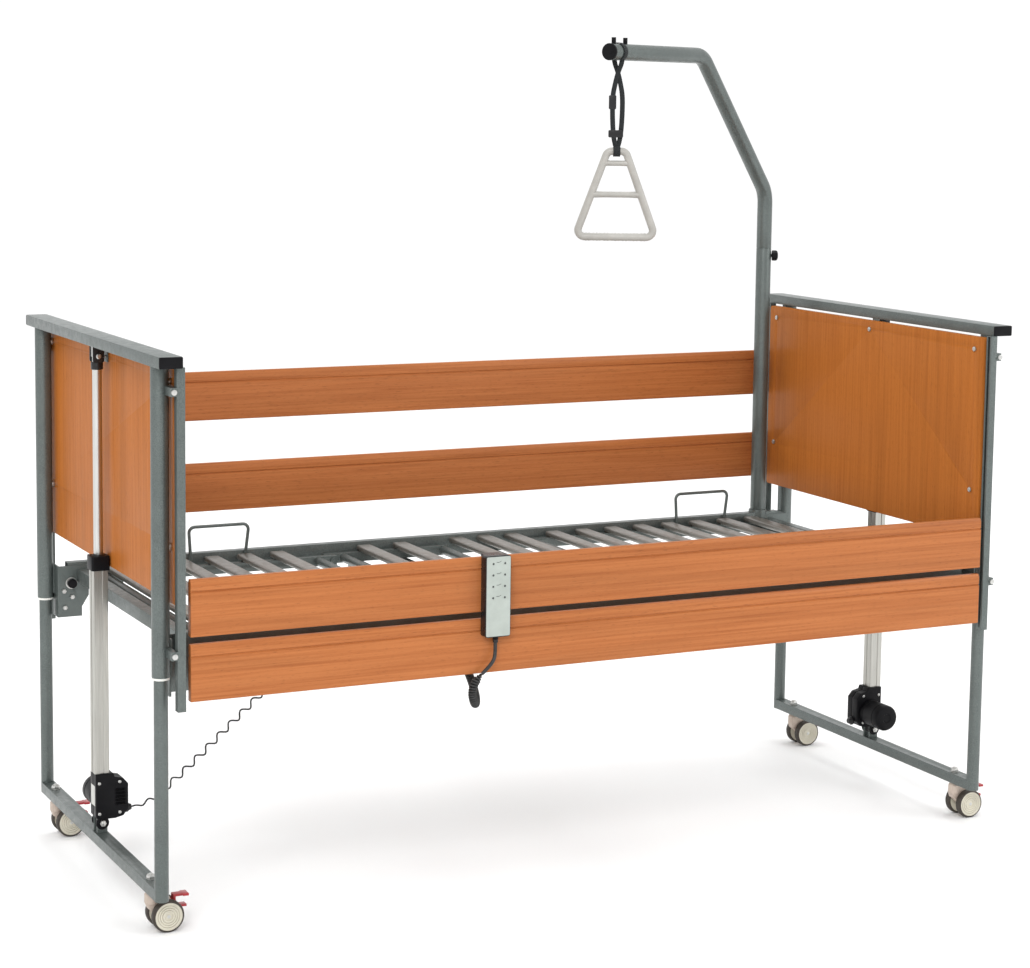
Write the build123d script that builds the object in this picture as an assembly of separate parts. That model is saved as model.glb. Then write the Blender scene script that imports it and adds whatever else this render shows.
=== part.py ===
"""Height-adjustable care bed: two lifting ends, a four-part lying surface, side rails and a pole.

Millimetres. Z is up, X runs from the foot end to the head end, Y to the far side.
The origin is on the floor, at the middle of the bed. The bed is modelled at its highest.
"""

from build123d import *
import math
import os

os.makedirs("parts", exist_ok=True)

# Driving dimensions
POST_X = 1039  # post axes, each side of the middle
POST_Y = 444
POST_R = 19
POST_WALL = 2
POST_BOTTOM = 566
LEG_R = 15
LEG_TOP = 700
BEAM_BOTTOM = 88
BEAM_TOP = 113
BEAM_HALF = 15
RAIL_BOTTOM = 1215  # top rail of each end
RAIL_TOP = 1239
RAIL_HALF_X = 25
RAIL_LONG_Y = 518  # each top rail reaches further on one side
RAIL_SHORT_Y = 497
PANEL_INNER = 1000
PANEL_OUTER = 1016
PANEL_HALF_Y = 478
PANEL_BOTTOM = 720
PANEL_TOP = 1210
GUIDE_IN = 1003.5  # upright guides for the side rails
GUIDE_OUT = 1021
GUIDE_Y0 = 484
GUIDE_Y1 = 503
GUIDE_BOTTOM = 502
DECK_TOP = 652
DECK_BOTTOM = 602
DECK_HALF_X = 995
DECK_Y0 = 405
DECK_Y1 = 430
SECTION_Y = 392
SECTION_END = 932
SLAT_TOP = 646
SLAT_BOTTOM = 632
SLAT_WIDTH = 38
BACK_PIVOT_X = 238
THIGH_PIVOT_X = -26
KNEE_PIVOT_X = -339
PIVOT_Z = 620
BOARD_HALF_X = 993
BOARD_HEIGHT = 120
BOARD_THICK = 19
BOARD_Y = 484
NEAR_UPPER_Z = 657
NEAR_LOWER_Z = 521
UPPER_TRAVEL = 310
LOWER_TRAVEL = 219
CASTER_Y = 370
CASTER_TRAIL = 30
WHEEL_R = 35
POLE_X = 938
POLE_Y = 422
POLE_R = 20
POLE_JOINT_Z = 1372
POLE_BEND_Z = 1522
ARM_Z = 1878.5
ARM_AZIMUTH = -150
ELBOW_REACH = 360
ARM_REACH = 805
STRAP_REACH = 768
HANDLE_AZIMUTH = -26
HANDSET_X = -306


def block(x0, x1, y0, y1, z0, z1):
    """A box between six planes, given in any order."""
    size = (abs(x1 - x0), abs(y1 - y0), abs(z1 - z0))
    return Pos((x0 + x1) / 2, (y0 + y1) / 2, (z0 + z1) / 2) * Box(*size)


def rod_z(x, y, z0, z1, radius):
    """An upright round bar."""
    return Pos(x, y, (z0 + z1) / 2) * Cylinder(radius, abs(z1 - z0))


def rod_y(x, z, y0, y1, radius):
    """A round bar along Y."""
    return Pos(x, (y0 + y1) / 2, z) * Rot(90, 0, 0) * Cylinder(radius, abs(y1 - y0))


def rod_x(y, z, x0, x1, radius):
    """A round bar along X."""
    return Pos((x0 + x1) / 2, y, z) * Rot(0, 90, 0) * Cylinder(radius, abs(x1 - x0))


def tube_z(x, y, z0, z1, radius, bore):
    """An upright round tube."""
    return rod_z(x, y, z0, z1, radius) - rod_z(x, y, z0 - 1, z1 + 1, bore)


def box_tube_y(x0, x1, y0, y1, z0, z1, wall):
    """A rectangular tube along Y."""
    inner = block(x0 + wall, x1 - wall, y0 - 1, y1 + 1, z0 + wall, z1 - wall)
    return block(x0, x1, y0, y1, z0, z1) - inner


def box_tube_x(x0, x1, y0, y1, z0, z1, wall):
    """A rectangular tube along X."""
    inner = block(x0 - 1, x1 + 1, y0 + wall, y1 - wall, z0 + wall, z1 - wall)
    return block(x0, x1, y0, y1, z0, z1) - inner


def bent_tube(points, bend_radius, radius, bore=0):
    """A round tube or wire along straight runs with one bend radius."""
    path = FilletPolyline(*points, radius=bend_radius)
    start = Plane(origin=path @ 0, z_dir=path % 0)
    outer = sweep(start * Circle(radius), path)
    if not bore:
        return outer
    return outer - sweep(start * Circle(bore), path)


def cord_tube(name, points, radius):
    """A cord's tube: every arc is as large as its two runs allow."""
    runs = [(Vector(*b) - Vector(*a)) for a, b in zip(points, points[1:])]
    radii = []
    for before, after in zip(runs, runs[1:]):
        turn = math.radians(before.get_angle(after))
        radii.append(0.45 * min(before.length, after.length) / math.tan(turn / 2))
    path = FilletPolyline(*points, radius=radii)
    tube = sweep(Plane(origin=path @ 0, z_dir=path % 0) * Circle(radius), path)
    share = tube.volume / (math.pi * radius**2 * path.length)
    print(name, "length", round(path.length), "radii", [round(r) for r in radii])
    print(name, "volume share", round(share, 4))
    return tube


def save(node, solids):
    """One STEP file for one named piece, or for a group of like pieces."""
    pieces = []
    for solid in solids:
        pieces.extend(solid.solids())
    shape = pieces[0] if len(pieces) == 1 else Compound(children=pieces)
    export_step(shape, f"parts/{node}.step")


def turned(shape, end):
    """The two ends are the same unit, so the foot end is the head end turned half round."""
    return shape if end == "head" else Rot(0, 0, 180) * shape


def both_ends(shapes):
    """A list of head-end shapes, and the same for the foot end."""
    return [turned(shape, end) for end in ("head", "foot") for shape in shapes]


SIDES = (-1, 1)
PANEL_SCREWS = [(-POST_Y, 1180), (POST_Y, 1180), (0, 1188), (-POST_Y, 838), (POST_Y, 838)]

# Posts, with a plastic bush in the foot of each
posts = []
bushes = []
for side in SIDES:
    post = tube_z(POST_X, side * POST_Y, POST_BOTTOM, RAIL_BOTTOM, POST_R, POST_R - POST_WALL)
    for y, z in PANEL_SCREWS:
        if y == side * POST_Y:
            post -= rod_x(y, z, PANEL_INNER, POST_X, 3.2)
    posts.append(post)
    flange = tube_z(POST_X, side * POST_Y, POST_BOTTOM - 5, POST_BOTTOM, POST_R - 0.5, LEG_R + 0.1)
    sleeve = tube_z(POST_X, side * POST_Y, POST_BOTTOM, POST_BOTTOM + 30, POST_R - POST_WALL, LEG_R + 0.1)
    bushes.append(flange + sleeve)
save("posts", both_ends(posts))
save("post_bushes", both_ends(bushes))

# Top rails and their end caps
rail_x0 = POST_X - RAIL_HALF_X
rail_x1 = POST_X + RAIL_HALF_X
top_rail = box_tube_y(rail_x0, rail_x1, -RAIL_SHORT_Y, RAIL_LONG_Y, RAIL_BOTTOM, RAIL_TOP, 2)
save("top_rails", both_ends([top_rail]))
caps = []
for side, reach in ((-1, RAIL_SHORT_Y), (1, RAIL_LONG_Y)):
    plate = block(rail_x0, rail_x1, side * reach, side * (reach + 4), RAIL_BOTTOM, RAIL_TOP)
    plate = fillet(plate.edges().filter_by(Axis.Y), 3)
    plug = block(
        rail_x0 + 2.5, rail_x1 - 2.5, side * (reach - 16), side * reach,
        RAIL_BOTTOM + 2.5, RAIL_TOP - 2.5,
    )
    caps.append(plate + plug)
save("rail_end_caps", both_ends(caps))

# End panels, screwed to the inner side of the posts
panel = block(PANEL_INNER, PANEL_OUTER, -PANEL_HALF_Y, PANEL_HALF_Y, PANEL_BOTTOM, PANEL_TOP)
panel = fillet(panel.edges().filter_by(Axis.X), 8)
for y, z in PANEL_SCREWS:
    panel -= rod_x(y, z, PANEL_INNER - 1, PANEL_OUTER + 1, 3.2)
save("end_panels", both_ends([panel]))

# Upright guides: channels open towards the side rails
guides = []
for side in SIDES:
    guide = block(GUIDE_IN, GUIDE_OUT, side * GUIDE_Y0, side * GUIDE_Y1, GUIDE_BOTTOM, RAIL_BOTTOM)
    guide -= block(
        GUIDE_IN + 2, GUIDE_OUT - 2, side * (GUIDE_Y0 + 2), side * (GUIDE_Y1 - 2),
        GUIDE_BOTTOM - 1, RAIL_BOTTOM - 2,
    )
    guide -= block(
        GUIDE_IN - 1, GUIDE_IN + 3, side * (GUIDE_Y0 + 5.5), side * (GUIDE_Y1 - 5.5),
        GUIDE_BOTTOM - 1, RAIL_BOTTOM - 2,
    )
    guides.append(guide)
save("rail_guides", both_ends(guides))

# Tabs and bolts between posts and guides, and the panels' screws and spacers
bolts = []
for side in SIDES:
    post_bar = rod_z(POST_X, side * POST_Y, 500, 1250, POST_R)
    for z in (620, 1165):
        tab = block(GUIDE_OUT, GUIDE_OUT + 13, side * (POST_Y + 7), side * GUIDE_Y1, z - 9, z + 9)
        bolts.append(tab - post_bar)
        bolt_x = GUIDE_OUT + 7
        bolts.append(rod_y(bolt_x, z, side * GUIDE_Y1, side * (GUIDE_Y1 + 5), 6))
for y, z in PANEL_SCREWS:
    screw = rod_x(y, z, PANEL_INNER - 2.5, PANEL_INNER, 6) + rod_x(y, z, PANEL_INNER, 1022, 3)
    bolts.append(screw)
    if y:
        spacer = rod_x(y, z, PANEL_OUTER, PANEL_OUTER + 7, 8) - rod_x(y, z, PANEL_OUTER, 1030, 3.2)
        bolts.append(spacer - rod_z(POST_X, y, z - 20, z + 20, POST_R))
    else:
        tab = block(PANEL_OUTER, PANEL_OUTER + 3, -12, 12, z - 12, RAIL_BOTTOM)
        bolts.append(tab - rod_x(y, z, PANEL_OUTER - 1, 1030, 3.2))
save("frame_bolts", both_ends(bolts))

# Corner brackets that carry the lying surface, and their clamp knobs
brackets = []
knobs = []
KNOB_X = 988
KNOB_Z = 604
for side in SIDES:
    outline = Polyline(
        (945, 645), (1020, 645), (1020, 522), (962, 522), (962, 545), (945, 572), close=True
    )
    plate = extrude(Plane.XZ * make_face(outline), 4)
    y0 = DECK_Y0 if side > 0 else -DECK_Y0 + 4
    plate = Pos(0, y0, 0) * plate
    tab = block(1016, 1020, side * DECK_Y0, side * POST_Y, 522, 645)
    tab += block(1016, 1024, side * (POST_Y - 9), side * (POST_Y + 6), 575, 645)
    bracket = plate + tab - rod_z(POST_X, side * POST_Y, 500, 700, POST_R)
    bracket -= rod_y(KNOB_X, KNOB_Z, side * (DECK_Y0 - 10), side * DECK_Y0, 4.2)
    brackets.append(bracket)
    inner = DECK_Y0 - 4
    knob = rod_y(KNOB_X, KNOB_Z, side * (inner - 14), side * inner, 11)
    knob += rod_y(KNOB_X, KNOB_Z, side * inner, side * DECK_Y0, 4)
    knobs.append(knob)
socket_bar = rod_z(POLE_X, POLE_Y, 500, 800, 24)
save("corner_brackets", [piece - socket_bar for piece in both_ends(brackets + knobs)])

# Lift rods, fixed under the top rails
lift_rod = rod_z(POST_X, 0, 690, 1195, 10.5)
lift_rod += block(POST_X - 11, POST_X + 11, -11, 11, 1188, RAIL_BOTTOM)
save("lift_rods", both_ends([lift_rod]))


def lever(pivot_x, tilt, y):
    """Two ears that hang from a pivot tube, with a pin across their tips."""
    ears = block(-10, 10, y + 13, y + 18, -118, 0) + block(-10, 10, y - 18, y - 13, -118, 0)
    pin = rod_y(0, -LEVER, y - 18, y + 18, 5)
    return Pos(pivot_x, 0, PIVOT_Z) * Rot(0, tilt, 0) * (ears + pin)


def section_bars(x0, x1, y0):
    """The two long tubes of one section of the lying surface."""
    bars = []
    for side in SIDES:
        low, high = sorted((side * y0, side * (y0 + 18)))
        bars.append(box_tube_x(x0, x1, low, high, BAR_BOTTOM, SLAT_BOTTOM, 2))
    return bars


def slat(x, half_y=SECTION_Y):
    """One thin-walled slat across the bed."""
    half = SLAT_WIDTH / 2
    return box_tube_y(x - half, x + half, -half_y, half_y, SLAT_BOTTOM, SLAT_TOP, 1.5)


LEVER = 110
BACK_TILT = 35
THIGH_TILT = -15
BACK_ACTUATOR_Y = 70
LEG_ACTUATOR_Y = -70
BAR_BOTTOM = SLAT_BOTTOM - 24
OUTER_BAR_Y = 372
INNER_BAR_Y = 350
CROSS_TUBES = (-250, -130, 130)
CROSS_BOTTOM = DECK_BOTTOM - 30

# Deck frame: side members, end tubes, cross tubes, section pins and rest pads
frame = []
for side in SIDES:
    y0, y1 = sorted((side * DECK_Y0, side * DECK_Y1))
    member = box_tube_x(-DECK_HALF_X, DECK_HALF_X, y0, y1, DECK_BOTTOM, DECK_TOP, 2)
    frame.append(member - socket_bar)
    for pivot_x in (BACK_PIVOT_X, THIGH_PIVOT_X):
        frame.append(rod_y(pivot_x, PIVOT_Z, side * (OUTER_BAR_Y - 2), side * DECK_Y0, 6))
    for pad_x in (-890, 890):
        pad = block(pad_x - 15, pad_x + 15, side * INNER_BAR_Y, side * DECK_Y0, DECK_BOTTOM, BAR_BOTTOM - 0.5)
        frame.append(pad)
for end in SIDES:
    x0, x1 = sorted((end * 945, end * 973))
    end_tube = box_tube_y(x0, x1, -DECK_Y0 + 4, DECK_Y0 - 4, 606, 636, 2)
    frame.append(end_tube - socket_bar)
for x in CROSS_TUBES:
    frame.append(box_tube_y(x - 15, x + 15, -DECK_Y1, DECK_Y1, CROSS_BOTTOM, DECK_BOTTOM, 2))
save("deck_frame", frame)

save("seat_slats", [slat(x, DECK_Y0) for x in (22, 100, 178)])

# Mattress retainers: wire bows on the side members
WIRE_R = 4
bows = []
for x0, x1 in ((-695, -540), (667, 829)):
    for side in SIDES:
        y = side * (DECK_Y0 - WIRE_R)
        feet = DECK_BOTTOM + 20
        points = [(x0 + 6, y, feet), (x0, y, 718), (x1, y, 718), (x1 - 12, y, feet)]
        bows.append(bent_tube(points, 14, WIRE_R))
save("mattress_bows", bows)


def cross_tube(x, half_y, pivot_depth=0):
    """A round tube between two bars, bored at its ends if it turns on pins."""
    tube = rod_y(x, PIVOT_Z, -half_y, half_y, 11)
    for side in SIDES:
        if pivot_depth:
            tube -= rod_y(x, PIVOT_Z, side * (half_y - pivot_depth), side * half_y, 6.1)
    return tube


def bored(bars, x):
    """The same bars with a pivot bored through them."""
    return [bar - rod_y(x, PIVOT_Z, -DECK_Y0, DECK_Y0, 6.1) for bar in bars]


# Back section
back = bored(section_bars(BACK_PIVOT_X - 12, SECTION_END, OUTER_BAR_Y), BACK_PIVOT_X)
back_shaft = cross_tube(BACK_PIVOT_X, OUTER_BAR_Y, 4)
back.append(back_shaft + lever(BACK_PIVOT_X, BACK_TILT, BACK_ACTUATOR_Y))
back.append(cross_tube(SECTION_END - 15, OUTER_BAR_Y))
back.extend(slat(293 + 86 * i) for i in range(8))
save("back_section", back)

# Thigh section, with the knee pins
thigh = bored(section_bars(KNEE_PIVOT_X - 12, THIGH_PIVOT_X + 12, OUTER_BAR_Y), THIGH_PIVOT_X)
thigh_shaft = cross_tube(THIGH_PIVOT_X, OUTER_BAR_Y, 4)
thigh.append(thigh_shaft + lever(THIGH_PIVOT_X, THIGH_TILT, LEG_ACTUATOR_Y))
thigh.append(cross_tube(KNEE_PIVOT_X + 39, OUTER_BAR_Y))
thigh.extend(slat(x) for x in (-238, -140))
for side in SIDES:
    thigh.append(rod_y(KNEE_PIVOT_X, PIVOT_Z, side * (INNER_BAR_Y - 3), side * OUTER_BAR_Y, 6))
save("thigh_section", thigh)

# Calf section
calf = bored(section_bars(-SECTION_END, KNEE_PIVOT_X + 12, INNER_BAR_Y), KNEE_PIVOT_X)
calf.append(cross_tube(KNEE_PIVOT_X - 36, INNER_BAR_Y))
calf.append(cross_tube(-SECTION_END + 15, INNER_BAR_Y))
calf.extend(slat(-470 - 85 * i) for i in range(6))
save("calf_section", calf)

# Under-deck drives: housings hung from the cross tubes, rods with slotted eyes
AXIS_Z = 520
SLOT_HALF = 7.2
back_tip = BACK_PIVOT_X - LEVER * math.sin(math.radians(BACK_TILT))
leg_tip = THIGH_PIVOT_X - LEVER * math.sin(math.radians(THIGH_TILT))


def drive_housing(x0, x1, y, mouth, hang_x):
    """A gear case with a rod bore, and the block that hangs it from a cross tube."""
    case = block(x0, x1, y - 28, y + 28, 492, 548)
    case = fillet(case.edges().filter_by(Axis.X), 8)
    case += block(hang_x - 12, hang_x + 12, y - 14, y + 14, 548, CROSS_BOTTOM)
    return case - rod_x(y, AXIS_Z, mouth, mouth + (145 if mouth == x0 else -145), 9.4)


def drive_rod(tip, y, inner, z0, z1):
    """A push rod whose eye is slotted upright, so that the lever's pin can rise in it."""
    eye = block(tip - 16, tip + 16, y - 9, y + 9, z0 - 8, z1 + 8)
    eye -= block(tip - SLOT_HALF, tip + SLOT_HALF, y - 10, y + 10, z0, z1)
    side = 16 if inner > tip else -16
    return eye + rod_x(y, AXIS_Z, tip + side, inner, 9)


housings = [
    drive_housing(-150, 30, BACK_ACTUATOR_Y, 30, -130),
    drive_housing(60, 230, LEG_ACTUATOR_Y, 60, 130),
]
save("drive_housings", housings)
save("back_drive_rod", [drive_rod(back_tip, BACK_ACTUATOR_Y, -105, 503, 537)])
save("leg_drive_rod", [drive_rod(leg_tip, LEG_ACTUATOR_Y, 195, 503, 530)])

# Control box, with the glands that its two cords enter by
box = block(-320, -180, -55, 55, 506, CROSS_BOTTOM)
box = fillet(box.edges().filter_by(Axis.Z), 8)
gland_x = rod_x(0, 540, -332, -320, 11)
gland_y = rod_y(-258, 540, -67, -55, 11)
inlet = block(-182, -174, -18, 18, 524, 548)
save("control_box", [box + gland_x + gland_y + inlet])

# Lifting bases: legs, beam and motor bracket, with the motor's pin
PIN_Z = 137
for end in ("foot", "head"):
    legs = [tube_z(POST_X, side * POST_Y, BEAM_BOTTOM - 1, LEG_TOP, LEG_R, LEG_R - 2) for side in SIDES]
    beam = block(POST_X - BEAM_HALF, POST_X + BEAM_HALF, -POST_Y, POST_Y, BEAM_BOTTOM, BEAM_TOP)
    beam -= block(POST_X - 13, POST_X + 13, -POST_Y + 18, POST_Y - 18, BEAM_BOTTOM + 2, BEAM_TOP - 2)
    ears = []
    for side in SIDES:
        beam -= rod_z(POST_X, side * POST_Y, 80, 120, LEG_R)
        beam -= rod_z(POST_X, side * CASTER_Y, 80, 120, 6.3)
        ear = block(POST_X - 12, POST_X + 12, side * 10, side * 15, BEAM_TOP, PIN_Z + 11)
        ears.append(ear - rod_y(POST_X, PIN_Z, side * 9, side * 16, 5.1))
    pin = rod_y(POST_X, PIN_Z, -19, 19, 5)
    save(f"{end}_base_frame", [turned(piece, end) for piece in legs + ears + [beam, pin]])

    column = block(POST_X - 17, POST_X + 17, -17, 17, 250, 712)
    column -= block(POST_X - 14, POST_X + 14, -14, 14, 249, 713)
    save(f"{end}_column", [turned(column, end)])

    case = block(980, 1055, -22, 22, 148, 250)
    case = fillet(case.edges().filter_by(Axis.Y), 6)
    case += rod_y(1020, 186, -100, -22, 33)
    case += block(POST_X - 9, POST_X + 9, -9, 9, PIN_Z - 10, 150)
    case += rod_x(0, 162, 968, 980, 11)
    case -= rod_y(POST_X, PIN_Z, -10, 10, 5.1)
    case -= rod_z(POST_X, 0, 245, 251, 11)
    column_cap = block(POST_X - 21, POST_X + 21, -21, 21, 712, 745)
    column_cap = fillet(column_cap.edges().filter_by(Axis.Z), 5)
    column_cap -= rod_z(POST_X, 0, 700, 750, 10.7)
    save(f"{end}_lift_motor", [turned(case, end), turned(column_cap, end)])

# Twin-wheel casters, all trailing towards the head end
for end, end_x in (("foot", -POST_X), ("head", POST_X)):
    for name, side in (("near", -1), ("far", 1)):
        y = side * CASTER_Y
        axle_x = end_x + CASTER_TRAIL
        fork = rod_z(end_x, y, 60, 121, 6) + rod_z(end_x, y, 113.4, 121, 10)
        fork += rod_z(end_x, y, 60, 86.5, 14)
        fork += block(end_x - 10, axle_x + 9, y - 10.5, y + 10.5, 44, 80)
        fork += rod_y(axle_x, WHEEL_R, y - 10.5, y + 10.5, 12)
        fork += rod_y(axle_x, WHEEL_R, y - 31, y + 31, 4)
        save(f"{end}_{name}_caster_fork", [fork])

        wheels = []
        for wheel_side in SIDES:
            tyre = rod_y(axle_x, WHEEL_R, y + wheel_side * 12, y + wheel_side * 31, WHEEL_R)
            tyre = fillet(tyre.edges().filter_by(GeomType.CIRCLE), 4)
            wheels.append(tyre - rod_y(axle_x, WHEEL_R, y - 40, y + 40, 4.08))
        save(f"{end}_{name}_caster_wheels", wheels)

        pedal = block(axle_x + 17, axle_x + 22, y - 9, y + 9, 46, 74)
        pedal += block(axle_x + 17, axle_x + 48, y - 9, y + 9, 70, 75)
        pedal += block(axle_x + 37, axle_x + 50, y - 13, y + 13, 70, 75)
        pedal += block(axle_x + 17, axle_x + 46, y - 9, y + 9, 46, 51)
        pedal += rod_y(axle_x + 19, 60, y - 9, y + 9, 4)
        save(f"{end}_{name}_brake_pedal", [pedal])


def rail_profile(y0, y1, z0):
    """A board's section: bevelled top edges, rounded foot, and a groove down each face."""
    z1 = z0 + BOARD_HEIGHT
    groove = z1 - 26
    outline = Polyline(
        (y0, z0), (y1, z0), (y1, groove - 3), (y1 - 2, groove - 1), (y1 - 2, groove + 1),
        (y1, groove + 3), (y1, z1 - 7), (y1 - 4, z1), (y0 + 4, z1), (y0, z1 - 7),
        (y0, groove + 3), (y0 + 2, groove + 1), (y0 + 2, groove - 1), (y0, groove - 3),
        close=True,
    )
    return make_face(outline)


def rail_board(side, z0):
    """A side rail's board with its two end fittings, which run in the guides."""
    y0, y1 = sorted((side * BOARD_Y, side * (BOARD_Y + BOARD_THICK)))
    start = Plane(origin=(-BOARD_HALF_X, 0, 0), x_dir=(0, 1, 0), z_dir=(1, 0, 0))
    board = extrude(start * rail_profile(y0, y1, z0), 2 * BOARD_HALF_X)
    fittings = []
    for end in SIDES:
        plate = block(
            end * BOARD_HALF_X, end * (BOARD_HALF_X + 2.5), side * (BOARD_Y - 2.5), side * (BOARD_Y + BOARD_THICK),
            z0, z0 + BOARD_HEIGHT - 6,
        )
        plate += block(
            end * (BOARD_HALF_X - 65), end * BOARD_HALF_X, side * (BOARD_Y - 2.5), side * BOARD_Y,
            z0, z0 + BOARD_HEIGHT - 8,
        )
        middle = side * (GUIDE_Y0 + GUIDE_Y1) / 2
        plate += block(end * (BOARD_HALF_X + 2.5), end * 1007, middle - 3, middle + 3, z0 + 10, z0 + 105)
        plate += block(end * 1006, end * 1018.5, middle - 7, middle + 7, z0 + 10, z0 + 105)
        fittings.append(plate)
    return board, fittings


RAIL_PLACES = {
    "near_upper": (-1, NEAR_UPPER_Z),
    "near_lower": (-1, NEAR_LOWER_Z),
    "far_upper": (1, NEAR_UPPER_Z + UPPER_TRAVEL),
    "far_lower": (1, NEAR_LOWER_Z + LOWER_TRAVEL),
}
for name, (side, z0) in RAIL_PLACES.items():
    board, fittings = rail_board(side, z0)
    save(f"{name}_rail", [board] + fittings)

# Handset, hung over the near upper rail, with its eight keys
rail_top = NEAR_UPPER_Z + BOARD_HEIGHT
face_y = -(BOARD_Y + BOARD_THICK + 25)
back_y = -(BOARD_Y + BOARD_THICK + 0.5)
case = block(HANDSET_X - 30, HANDSET_X + 30, face_y, back_y, 604, rail_top + 6)
case = fillet(case.edges().filter_by(Axis.Y), 6)
case += block(HANDSET_X - 20, HANDSET_X + 20, back_y, -(BOARD_Y - 4), rail_top + 1, rail_top + 5)
case += block(HANDSET_X - 20, HANDSET_X + 20, -(BOARD_Y - 0.5), -(BOARD_Y - 4), rail_top - 18, rail_top + 5)
case += rod_z(HANDSET_X, -516, 590, 604, 6)
KEY_COLUMNS = (-13, 15)
KEY_ROWS = (766, 741, 716, 691)
number = 1
for row in KEY_ROWS:
    for column in KEY_COLUMNS:
        x = HANDSET_X + column
        case -= block(x - 5.4, x + 5.4, face_y - 1, face_y + 7, row - 3.9, row + 3.9)
        key = block(x - 5, x + 5, face_y - 1.6, face_y + 5, row - 3.5, row + 3.5)
        key = fillet(key.edges().filter_by(Axis.Y), 1.5)
        save(f"handset_key_{number}", [key])
        number += 1
save("handset", [case])

# Lifting pole: socket, lower tube, bent arm, fittings, clamp knob, strap and handle
socket = tube_z(POLE_X, POLE_Y, 600, 658, 24, POLE_R + 0.1) + rod_z(POLE_X, POLE_Y, 592, 600, 24)
save("pole_socket", [socket])
lower = tube_z(POLE_X, POLE_Y, 600, POLE_JOINT_Z, POLE_R, 17.5)
KNOB_HEIGHT = POLE_JOINT_Z - 20
side_on = Pos(POLE_X, POLE_Y, KNOB_HEIGHT) * Rot(0, 0, HANDLE_AZIMUTH)
lower -= side_on * rod_x(0, 0, 10, 30, 4.05)
save("pole_lower_tube", [lower])
pole_knob = rod_x(0, 0, 17.8, 24, 4) + rod_x(0, 0, 23, 38, 14)
save("pole_clamp_knob", [side_on * pole_knob])

heading = math.radians(ARM_AZIMUTH)


def on_arm(reach, z):
    """A point at a reach from the pole, under or on the arm."""
    return (POLE_X + reach * math.cos(heading), POLE_Y + reach * math.sin(heading), z)


arm_points = [
    (POLE_X, POLE_Y, POLE_JOINT_Z + 1), (POLE_X, POLE_Y, POLE_BEND_Z),
    on_arm(ELBOW_REACH, ARM_Z), on_arm(ARM_REACH, ARM_Z),
]
arm = bent_tube(arm_points, 70, POLE_R, 17.5)
arm += tube_z(POLE_X, POLE_Y, POLE_JOINT_Z - 110, POLE_JOINT_Z + 8, 17.2, 14)
save("pole_arm", [arm])
along = Rot(0, 0, ARM_AZIMUTH)
fittings = [Pos(*on_arm(ARM_REACH, ARM_Z)) * along * rod_x(0, 0, 0, 6, POLE_R + 0.6)]
for reach in (737, 790):
    peg = Pos(*on_arm(reach, ARM_Z)) * along * rod_z(0, 0, 15, 35, 5.5)
    fittings.append(peg - Pos(*on_arm(ARM_REACH, ARM_Z)) * along * rod_x(0, 0, -100, 0, POLE_R))
save("arm_cap_and_pegs", fittings)

GRIP_Z = 1432
HANDLE_R = 10
TOP_Z = 1640
hang = Pos(*on_arm(STRAP_REACH, 0)) * Rot(0, 0, HANDLE_AZIMUTH)
outline = [(-98, 0, GRIP_Z), (-22, 0, TOP_Z), (22, 0, TOP_Z), (98, 0, GRIP_Z)]
loop = FilletPolyline(*outline, radius=16, close=True)
ring = sweep(Plane(origin=loop @ 0, z_dir=loop % 0) * Circle(HANDLE_R), loop)
slope = 76 / (TOP_Z - GRIP_Z)
for z, radius in ((1535, 7.5), (1611, 7)):
    half = 98 - slope * (z - GRIP_Z)
    ring += rod_x(0, z, -half, half, radius)
save("pull_handle", [hang * ring])

collar = along * (rod_x(0, 0, -13, 13, 24) - rod_x(0, 0, -14, 14, POLE_R + 0.6))
strap = Pos(*on_arm(STRAP_REACH, ARM_Z)) * collar
strap += hang * block(-9, 9, -3, 3, TOP_Z + 11, ARM_Z - 21.5)
strap += hang * (rod_x(0, TOP_Z, -9, 9, 14) - rod_x(0, TOP_Z, -11, 11, HANDLE_R + 0.4))
save("pull_strap", [strap])

# Free cords. The foot motor's lead is curly and pulled out straight; the handset's hangs in a loop.
MOTOR_LEAD = [
    (-968, 0, 162), (-930, 0, 162), (-880, 0, 200), (-820, -3, 250), (-750, -5, 314), (-680, -5, 374),
    (-610, -4, 436), (-540, -2, 492), (-470, -1, 528), (-400, 0, 540), (-332, 0, 540),
]
HANDSET_LEAD = [
    (-306, -516, 590), (-306, -516, 572), (-309, -519, 554), (-322, -520, 538), (-338, -519, 524),
]
HANDSET_CURL = [
    (-338, -519, 524), (-354, -518, 510), (-360, -513, 484), (-350, -503, 458), (-334, -480, 446),
    (-320, -450, 456), (-312, -412, 480), (-304, -360, 504), (-294, -300, 520), (-284, -240, 530),
    (-270, -180, 536), (-258, -120, 540), (-258, -67, 540),
]
save("foot_motor_lead", [cord_tube("foot_motor_lead", MOTOR_LEAD, 9)])
save("handset_lead", [cord_tube("handset_lead", HANDSET_LEAD, 4)])
save("handset_curl", [cord_tube("handset_curl", HANDSET_CURL, 10)])
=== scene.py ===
"""The looks of the height-adjustable care bed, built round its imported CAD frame.

Metres, in the CAD model's own frame: X runs from the foot end to the head end, Y to the far
side and Z up. Pieces that exist at both ends are made at the head end and turned half round
for the foot end.
"""

import math

import bmesh
import bpy
from mathutils import Euler, Matrix, Vector


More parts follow.
